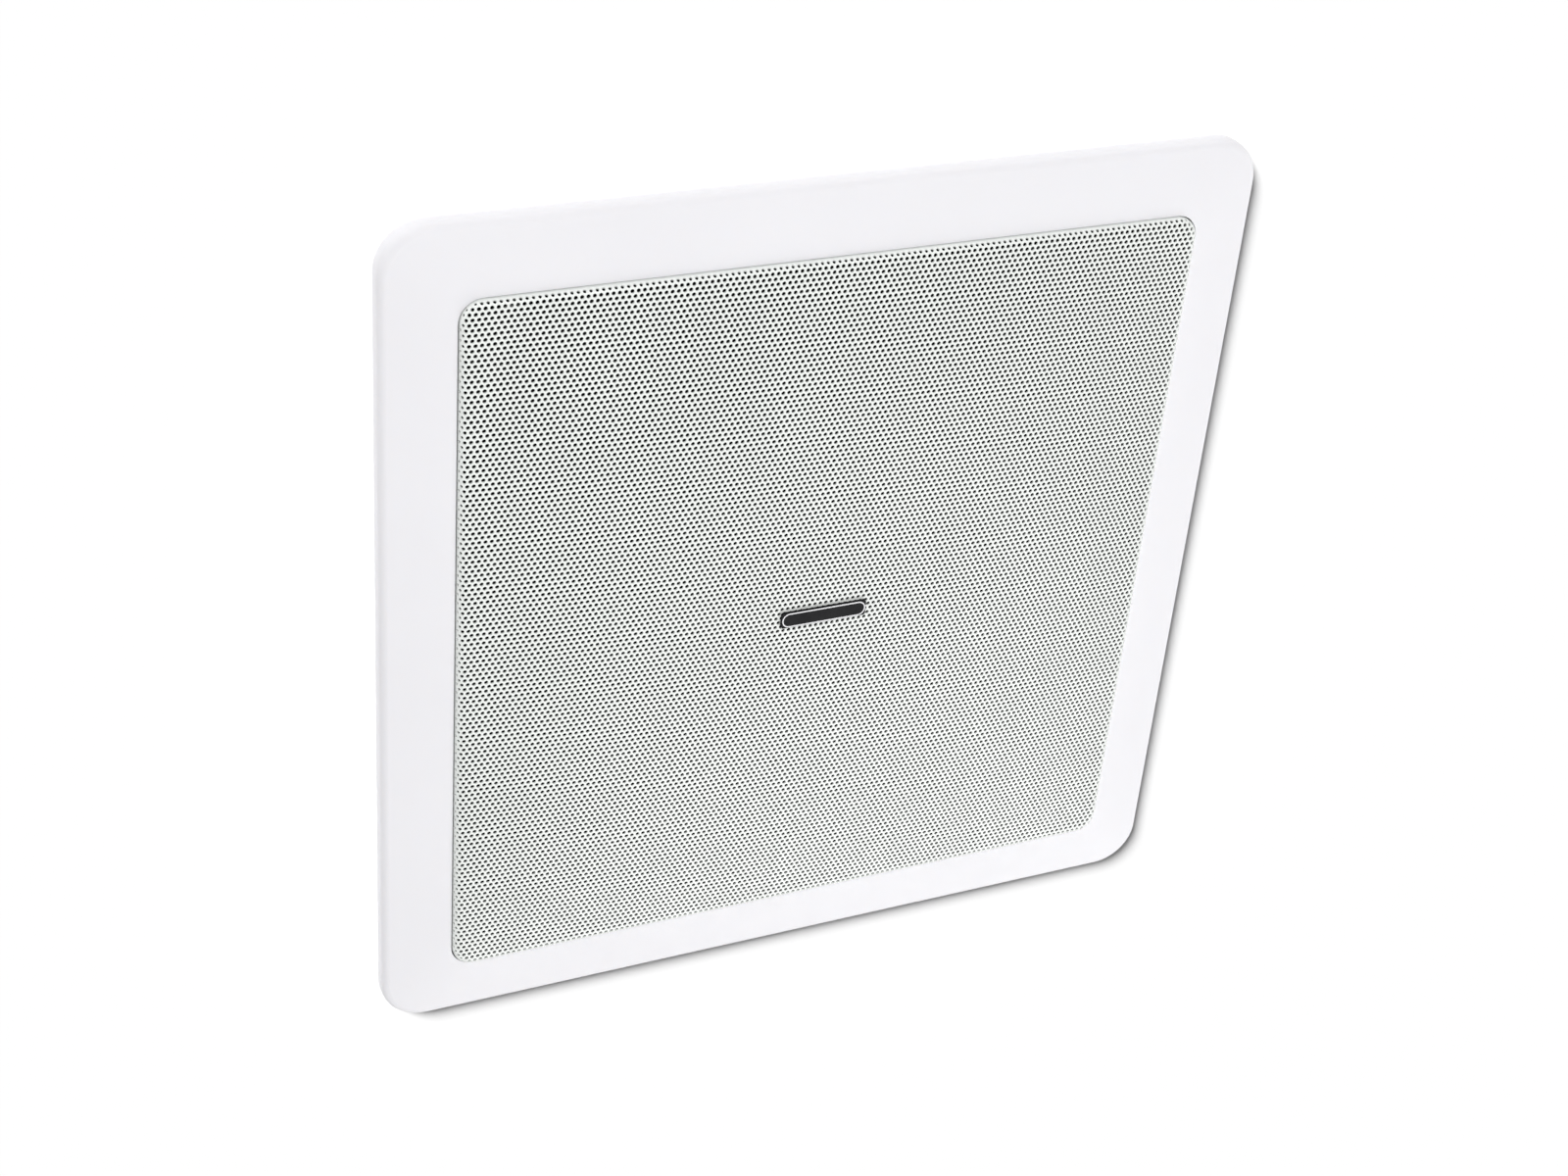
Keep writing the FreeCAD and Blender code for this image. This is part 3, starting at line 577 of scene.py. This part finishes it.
class Finish:
    """A material whose colour, roughness and relief come from patterns in the part's own space."""

    def __init__(self, name, colour, roughness, metallic=0.0):
        self.name = name
        self.material = bpy.data.materials.new(name)
        self.material.use_nodes = True
        self.tree = self.material.node_tree
        self.shader = self.tree.nodes["Principled BSDF"]
        self.colour = colour
        self.set("Base Color", (*colour, 1.0))
        self.set("Roughness", roughness)
        self.set("Metallic", metallic)
        self.place = self.node("ShaderNodeTexCoord").outputs["Object"]

    def set(self, socket, value):
        """Sets one of the shader's own values."""
        self.shader.inputs[socket].default_value = value

    def join(self, source, target):
        """Links two sockets."""
        self.tree.links.new(source, target)

    def node(self, kind, **inputs):
        """A new node with some of its inputs set by name."""
        made = self.tree.nodes.new(kind)
        for name, value in inputs.items():
            made.inputs[name.replace("_", " ")].default_value = value
        return made

    def noise(self, size, detail=3.0):
        """Cloudy noise with features of about this size."""
        made = self.node("ShaderNodeTexNoise", Scale=1 / size, Detail=detail)
        self.join(self.place, made.inputs["Vector"])
        return made.outputs["Fac"]

    def bands(self, direction, period, distortion=0.0):
        """Even bands across one direction."""
        made = self.node("ShaderNodeTexWave", Scale=WAVE_PERIOD / period, Distortion=distortion)
        made.bands_direction = direction
        self.join(self.place, made.inputs["Vector"])
        return made.outputs["Fac"]

    def along(self, axis):
        """How far points lie along one axis."""
        made = self.node("ShaderNodeSeparateXYZ")
        self.join(self.place, made.inputs["Vector"])
        return made.outputs[axis]

    def less(self, pattern, amount):
        """A pattern less a fixed amount."""
        made = self.node("ShaderNodeMath")
        made.operation = "SUBTRACT"
        made.inputs[1].default_value = amount
        self.join(pattern, made.inputs[0])
        return made.outputs["Value"]

    def unsigned(self, pattern):
        """A pattern without its sign."""
        made = self.node("ShaderNodeMath")
        made.operation = "ABSOLUTE"
        self.join(pattern, made.inputs[0])
        return made.outputs["Value"]

    def combine(self, operation, first, second):
        """Two patterns worked into one."""
        made = self.node("ShaderNodeMath")
        made.operation = operation
        self.join(first, made.inputs[0])
        self.join(second, made.inputs[1])
        return made.outputs["Value"]

    def spread(self, pattern, low, high, darkest=0.3, lightest=0.7):
        """A pattern stretched to run between two values."""
        made = self.node("ShaderNodeMapRange", From_Min=darkest, From_Max=lightest, To_Min=low, To_Max=high)
        self.join(pattern, made.inputs["Value"])
        return made.outputs["Result"]

    def mix(self, share, second):
        """Runs the colour to a second one as a share grows, and gives the first one's socket."""
        made = self.node("ShaderNodeMix")
        made.data_type = "RGBA"
        self.join(share, made.inputs["Factor"])
        made.inputs[MIX_SECOND].default_value = second
        self.join(made.outputs[MIX_RESULT], self.shader.inputs["Base Color"])
        return made.inputs[MIX_FIRST]

    def tint(self, pattern, other, darkest=0.3, lightest=0.7):
        """Runs the colour from its own to another along a pattern."""
        first = self.mix(self.spread(pattern, 0.0, 1.0, darkest, lightest), (*other, 1.0))
        first.default_value = (*self.colour, 1.0)

    def rough(self, pattern, low, high):
        """Runs the roughness along a pattern."""
        self.join(self.spread(pattern, low, high), self.shader.inputs["Roughness"])

    def relief(self, pattern, depth):
        """Raises the surface along a pattern."""
        made = self.node("ShaderNodeBump", Distance=depth)
        self.join(pattern, made.inputs["Height"])
        self.join(made.outputs["Normal"], self.shader.inputs["Normal"])


def shade_of(colour, share):
    """A lighter or darker shade of a colour."""
    return tuple(min(part * share, 1.0) for part in colour)


def moulded(name, colour, roughness, grain=0.35 * MM, depth=0.006 * MM):
    """Moulded plastic with a fine spark-eroded grain."""
    finish = Finish(name, colour, roughness)
    finish.tint(finish.noise(size=60 * MM), shade_of(colour, share=0.985))
    finish.rough(finish.noise(size=8 * MM), low=roughness - 0.05, high=roughness + 0.05)
    finish.relief(finish.noise(size=grain, detail=2.0), depth)
    return finish


def painted(name, colour, roughness, peel=1.2 * MM, depth=0.01 * MM):
    """Sprayed paint or powder coat with a slight orange peel."""
    finish = Finish(name, colour, roughness)
    finish.tint(finish.noise(size=40 * MM), shade_of(colour, share=0.97))
    finish.rough(finish.noise(size=5 * MM), low=roughness - 0.06, high=roughness + 0.06)
    finish.relief(finish.noise(size=peel, detail=2.0), depth)
    return finish


def plated(name, colour, roughness):
    """Plated or bare metal, with a fine grain and a cloudy sheen."""
    finish = Finish(name, colour, roughness, metallic=1.0)
    finish.tint(finish.noise(size=4 * MM), shade_of(colour, share=0.9))
    finish.rough(finish.noise(size=2.5 * MM, detail=5.0), low=roughness - 0.08, high=roughness + 0.12)
    finish.relief(finish.noise(size=0.25 * MM, detail=2.0), depth=0.004 * MM)
    return finish


def woven(name, colour, roughness, thread, depth, sheen=0.2):
    """Plain-woven cloth."""
    finish = Finish(name, colour, roughness)
    weave = finish.combine("MULTIPLY", finish.bands("X", thread), finish.bands("Y", thread))
    finish.tint(weave, shade_of(colour, share=1.7), darkest=0.0, lightest=1.0)
    finish.relief(weave, depth)
    finish.set("Sheen Weight", sheen)
    return finish


def wound(name, colour, wire):
    """Enamelled wire in close turns."""
    finish = Finish(name, colour, roughness=0.28, metallic=1.0)
    turns = finish.bands("Z", wire, distortion=0.4)
    finish.tint(turns, shade_of(colour, share=0.35), darkest=0.45, lightest=0.0)
    finish.relief(turns, depth=0.3 * wire)
    finish.set("Coat Weight", 0.4)
    return finish


def enamelled(name, colour):
    """Bare turns of enamelled copper wire."""
    finish = Finish(name, colour, roughness=0.25, metallic=1.0)
    finish.tint(finish.noise(size=3 * MM), shade_of(colour, share=0.75))
    finish.rough(finish.noise(size=1.5 * MM), low=0.18, high=0.34)
    finish.set("Coat Weight", 0.5)
    return finish


def sleeved(name, colour, node, body_length):
    """A shrink sleeve round a can, with bare tinned leads beyond its two ends."""
    low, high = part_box(node)
    finish = Finish(name, colour, roughness=0.28)
    distance = finish.unsigned(finish.less(finish.along("Y"), (low.y + high.y) / 2))
    start = body_length / 2 + SLEEVE_OVERHANG
    finish.tint(distance, TIN, start, start + SLEEVE_FADE)
    bare = finish.spread(distance, 0.0, 1.0, start, start + SLEEVE_FADE)
    finish.join(bare, finish.shader.inputs["Metallic"])
    return finish


def pulp(name, colour):
    """Pressed paper pulp."""
    finish = Finish(name, colour, roughness=0.85)
    fibres = finish.noise(size=0.8 * MM, detail=6.0)
    finish.tint(fibres, shade_of(colour, share=1.8))
    finish.relief(fibres, depth=0.05 * MM)
    return finish


def rubbery(name, colour, roughness):
    """Soft black rubber or foam with a dusty bloom."""
    finish = Finish(name, colour, roughness)
    finish.tint(finish.noise(size=6 * MM, detail=5.0), shade_of(colour, share=1.6))
    finish.relief(finish.noise(size=0.4 * MM), depth=0.02 * MM)
    finish.set("Sheen Weight", 0.15)
    return finish


def sintered(name, colour):
    """Dull ferrite with grinding marks and small pits."""
    finish = Finish(name, colour, roughness=0.55)
    marks = finish.noise(size=0.9 * MM, detail=6.0)
    finish.tint(marks, shade_of(colour, share=1.7))
    finish.rough(finish.noise(size=4 * MM), low=0.42, high=0.68)
    finish.relief(marks, depth=0.04 * MM)
    return finish


def circuit_board(name, colour):
    """Green solder mask over copper tracks."""
    finish = Finish(name, colour, roughness=0.32)
    across = finish.bands("X", period=5.2 * MM, distortion=1.5)
    tracks = finish.combine("MAXIMUM", across, finish.bands("Y", period=7.4 * MM, distortion=1.5))
    finish.tint(tracks, shade_of(colour, share=1.9), darkest=0.86, lightest=0.9)
    finish.relief(tracks, depth=0.03 * MM)
    finish.set("Coat Weight", 0.3)
    return finish


def frame_plastic(name, colour, roughness):
    """The frame's satin plastic, which lets a little light in, with painted shade in black inside the opening
    behind the grille.
    """
    finish = moulded(name, colour, roughness)
    finish.set("Specular IOR Level", FRAME_SHINE)
    finish.set("Subsurface Weight", FRAME_GLOW)
    finish.set("Subsurface Radius", FRAME_GLOW_TINT)
    finish.set("Subsurface Scale", FRAME_GLOW_DEPTH)
    paint_inside_shade(finish)
    return finish


def paint_inside_shade(finish):
    """Painted shade: black within the opening and behind the grille, so that nothing pale shows through."""
    height = finish.along("Z")
    across = finish.unsigned(finish.along("X"))
    sideways = finish.combine("MAXIMUM", across, finish.unsigned(finish.along("Y")))
    within = finish.spread(sideways, 1.0, 0.0, OPENING_HALF, OPENING_HALF + INSIDE_FADE)
    behind = finish.spread(height, 0.0, 1.0, INSIDE_FRONT, INSIDE_FRONT + INSIDE_FADE)
    before = finish.spread(height, 1.0, 0.0, INSIDE_BACK, INSIDE_BACK + INSIDE_FADE)
    # Painted shade: the mask where the frame turns black in place of the shade inside the opening
    inside = finish.combine("MULTIPLY", within, finish.combine("MULTIPLY", behind, before))
    outside_colour = finish.shader.inputs["Base Color"].links[0].from_socket
    finish.join(outside_colour, finish.mix(inside, INSIDE_SHADE_BLACK))


def all_finishes():
    """Every finish, by the name of its slot."""
    made = (
        frame_plastic("frame_plastic", (0.893, 0.886, 0.915), roughness=0.5),
        painted("grille_paint", (0.90, 0.925, 0.90), roughness=0.42, peel=0.5 * MM, depth=0.004 * MM),
        woven("scrim_cloth", SCRIM_BLACK, roughness=0.9, thread=0.4 * MM, depth=0.05 * MM, sheen=0.0),
        painted("badge_black", (0.006, 0.006, 0.007), roughness=0.6, peel=2 * MM, depth=0.003 * MM),
        rubbery("gasket_foam", (0.03, 0.03, 0.03), roughness=0.9),
        painted("basket_paint", (0.025, 0.025, 0.028), roughness=0.38),
        rubbery("surround_rubber", (0.02, 0.02, 0.02), roughness=0.55),
        pulp("cone_paper", (0.05, 0.05, 0.055)),
        woven("spider_cloth", (0.50, 0.34, 0.10), roughness=0.75, thread=0.6 * MM, depth=0.08 * MM),
        plated("former_metal", (0.75, 0.75, 0.76), roughness=0.35),
        wound("copper_wire", (0.72, 0.30, 0.14), wire=0.5 * MM),
        plated("plated_steel", (0.62, 0.60, 0.54), roughness=0.34),
        sintered("ferrite", (0.055, 0.055, 0.06)),
        plated("screw_steel", (0.66, 0.66, 0.66), roughness=0.26),
        painted("tag_board", (0.24, 0.11, 0.04), roughness=0.5),
        plated("spacer_metal", (0.74, 0.74, 0.75), roughness=0.28),
        moulded("tweeter_plastic", (0.03, 0.03, 0.032), roughness=0.5),
        plated("bright_metal", (0.78, 0.78, 0.78), roughness=0.2),
        woven("dome_silk", (0.03, 0.03, 0.03), roughness=0.6, thread=0.35 * MM, depth=0.03 * MM),
        circuit_board("circuit_board", (0.012, 0.11, 0.035)),
        sleeved("capacitor_sleeve", (0.03, 0.05, 0.22), "crossover_capacitor", CAPACITOR_LENGTH),
        moulded("terminal_plastic", (0.02, 0.02, 0.02), roughness=0.45),
        moulded("button_red", (0.45, 0.015, 0.012), roughness=0.3),
        moulded("button_black", (0.02, 0.02, 0.02), roughness=0.3),
        plated("spring_steel", (0.68, 0.68, 0.70), roughness=0.22),
        moulded("dog_plastic", (0.06, 0.06, 0.065), roughness=0.5),
    )
    finishes = {finish.name: finish for finish in made}
    for name in ("badge_black", "scrim_cloth"):
        finishes[name].set("Specular IOR Level", DULL_SHINE)
    return finishes


def dress_nodes():
    """Gives each CAD node the finish of its record's slot."""
    for node in frame["nodes"].values():
        for slot in node.material_slots:
            slot.material = FINISHES[slot.material.name.split(".")[0]].material


# Stage, light and camera

def stage_sheet(name, inner, z):
    """A wide round sheet that faces down, with a hole of the given outline."""
    outward = inner / np.hypot(inner[:, 0], inner[:, 1])[:, None]
    points = np.vstack([inner, outward * STAGE_REACH])
    count = len(inner)
    faces = []
    for here in range(count):
        after = (here + 1) % count
        faces.append((after, after + count, here + count, here))
    mesh = new_mesh(name, np.column_stack([points, np.full(len(points), z)]), faces)
    sheet = add_object(name, mesh)
    return sheet


def background_rays(tree):
    """1 for what the camera, a mirror or a glass shows, and 0 for light on its way to the part."""
    path = tree.nodes.new("ShaderNodeLightPath")
    found = path.outputs["Is Camera Ray"]
    for kind in ("Is Glossy Ray", "Is Transmission Ray"):
        either = tree.nodes.new("ShaderNodeMath")
        either.operation = "MAXIMUM"
        tree.links.new(found, either.inputs[0])
        tree.links.new(path.outputs[kind], either.inputs[1])
        found = either.outputs["Value"]
    return found


def pale_matt(name):
    """A pale matt stage material, and its shader."""
    material = bpy.data.materials.new(name)
    material.use_nodes = True
    shader = material.node_tree.nodes["Principled BSDF"]
    shader.inputs["Base Color"].default_value = PALE
    shader.inputs["Roughness"].default_value = 1.0
    shader.inputs["Specular IOR Level"].default_value = 0.0
    return material, shader


def ceiling():
    """The pale ceiling that the speaker is seen against from below; from above it lets all light through."""
    half = cad_box[1].x - CEILING_OVERLAP
    outline = rounded_square(half, half, FLANGE_CORNER - CEILING_OVERLAP)
    sheet = stage_sheet("stage_ceiling", outline, CEILING_LIFT)
    material, shader = pale_matt("stage_ceiling")
    tree = material.node_tree
    side = tree.nodes.new("ShaderNodeNewGeometry")
    clear = tree.nodes.new("ShaderNodeBsdfTransparent")
    mix = tree.nodes.new("ShaderNodeMixShader")
    tree.links.new(side.outputs["Backfacing"], mix.inputs["Fac"])
    tree.links.new(shader.outputs["BSDF"], mix.inputs[1])
    tree.links.new(clear.outputs["BSDF"], mix.inputs[2])
    tree.links.new(mix.outputs["Shader"], tree.nodes["Material Output"].inputs["Surface"])
    sheet.data.materials.append(material)
    return sheet


def world():
    """Even light from all round, shown as white."""
    made = bpy.data.worlds.new("studio")
    made.use_nodes = True
    tree = made.node_tree
    strength = tree.nodes.new("ShaderNodeMapRange")
    strength.inputs["To Min"].default_value = WORLD_LIGHT
    strength.inputs["To Max"].default_value = 1.0
    tree.links.new(background_rays(tree), strength.inputs["Value"])
    shader = tree.nodes["Background"]
    shader.inputs["Color"].default_value = WHITE
    tree.links.new(strength.outputs["Result"], shader.inputs["Strength"])
    bpy.context.scene.world = made


def aim(made, place):
    """Puts a lamp in place, pointing at the part's middle."""
    made.location = place
    made.rotation_mode = "QUATERNION"
    made.rotation_quaternion = (-Vector(place)).to_track_quat("-Z", "Y")
    made.visible_camera = False


def share_light(lamp, sheet, state):
    """Gives a lamp's light to the ceiling alone (INCLUDE) or to all but the ceiling (EXCLUDE)."""
    group = bpy.data.collections.new(lamp.name + "_light")
    group.objects.link(sheet)
    group.collection_objects[0].light_linking.link_state = state
    lamp.light_linking.receiver_collection = group


def soft_box(name, place, size, power, sheet):
    """A large soft lamp on the part."""
    data = bpy.data.lights.new(name, "AREA")
    data.size = size
    data.energy = power
    made = add_object(name, data)
    aim(made, place)
    share_light(made, sheet, "EXCLUDE")


def backdrop_sun(sheet):
    """A broad low sun on the ceiling alone, which draws the part's drop shadow to the lower right."""
    data = bpy.data.lights.new("backdrop_sun", "SUN")
    data.angle = SUN_WIDTH
    data.energy = SUN_STRENGTH
    made = add_object("backdrop_sun", data)
    aim(made, SUN_PLACE)
    share_light(made, sheet, "INCLUDE")


def camera():
    """The camera at the photograph's place."""
    data = bpy.data.cameras.new("camera")
    data.sensor_width = SENSOR_MM
    data.lens = FOCAL_PIXELS / IMAGE_WIDTH * SENSOR_MM
    made = add_object("camera", data)
    forward = Vector(CAMERA_FORWARD).normalized()
    right = forward.cross(Vector(CAMERA_UP)).normalized()
    up = right.cross(forward)
    turn = Matrix((right, up, -forward)).transposed()
    made.matrix_world = Matrix.Translation(CAMERA_PLACE) @ turn.to_4x4()
    bpy.context.scene.camera = made


def corners(box):
    """A box's two corners as plain lists of numbers."""
    return [[float(part) for part in corner] for corner in box]


# The whole scene

FINISHES = all_finishes()
bpy.context.scene.view_settings.view_transform = "Standard"
dress_nodes()
perforated_grille(FINISHES["grille_paint"].material)
badge_border(painted("border_silver", SILVER, SILVER_ROUGHNESS).material)
threaded_screws(FINISHES["screw_steel"].material)
suspension()
leaf_springs()
inductor_turns(enamelled("copper_turns", COPPER).material)
backdrop = ceiling()
backdrop_sun(backdrop)
world()
for box_name, (box_place, box_size, box_power) in SOFT_BOXES.items():
    soft_box(box_name, box_place, box_size, box_power, backdrop)
camera()
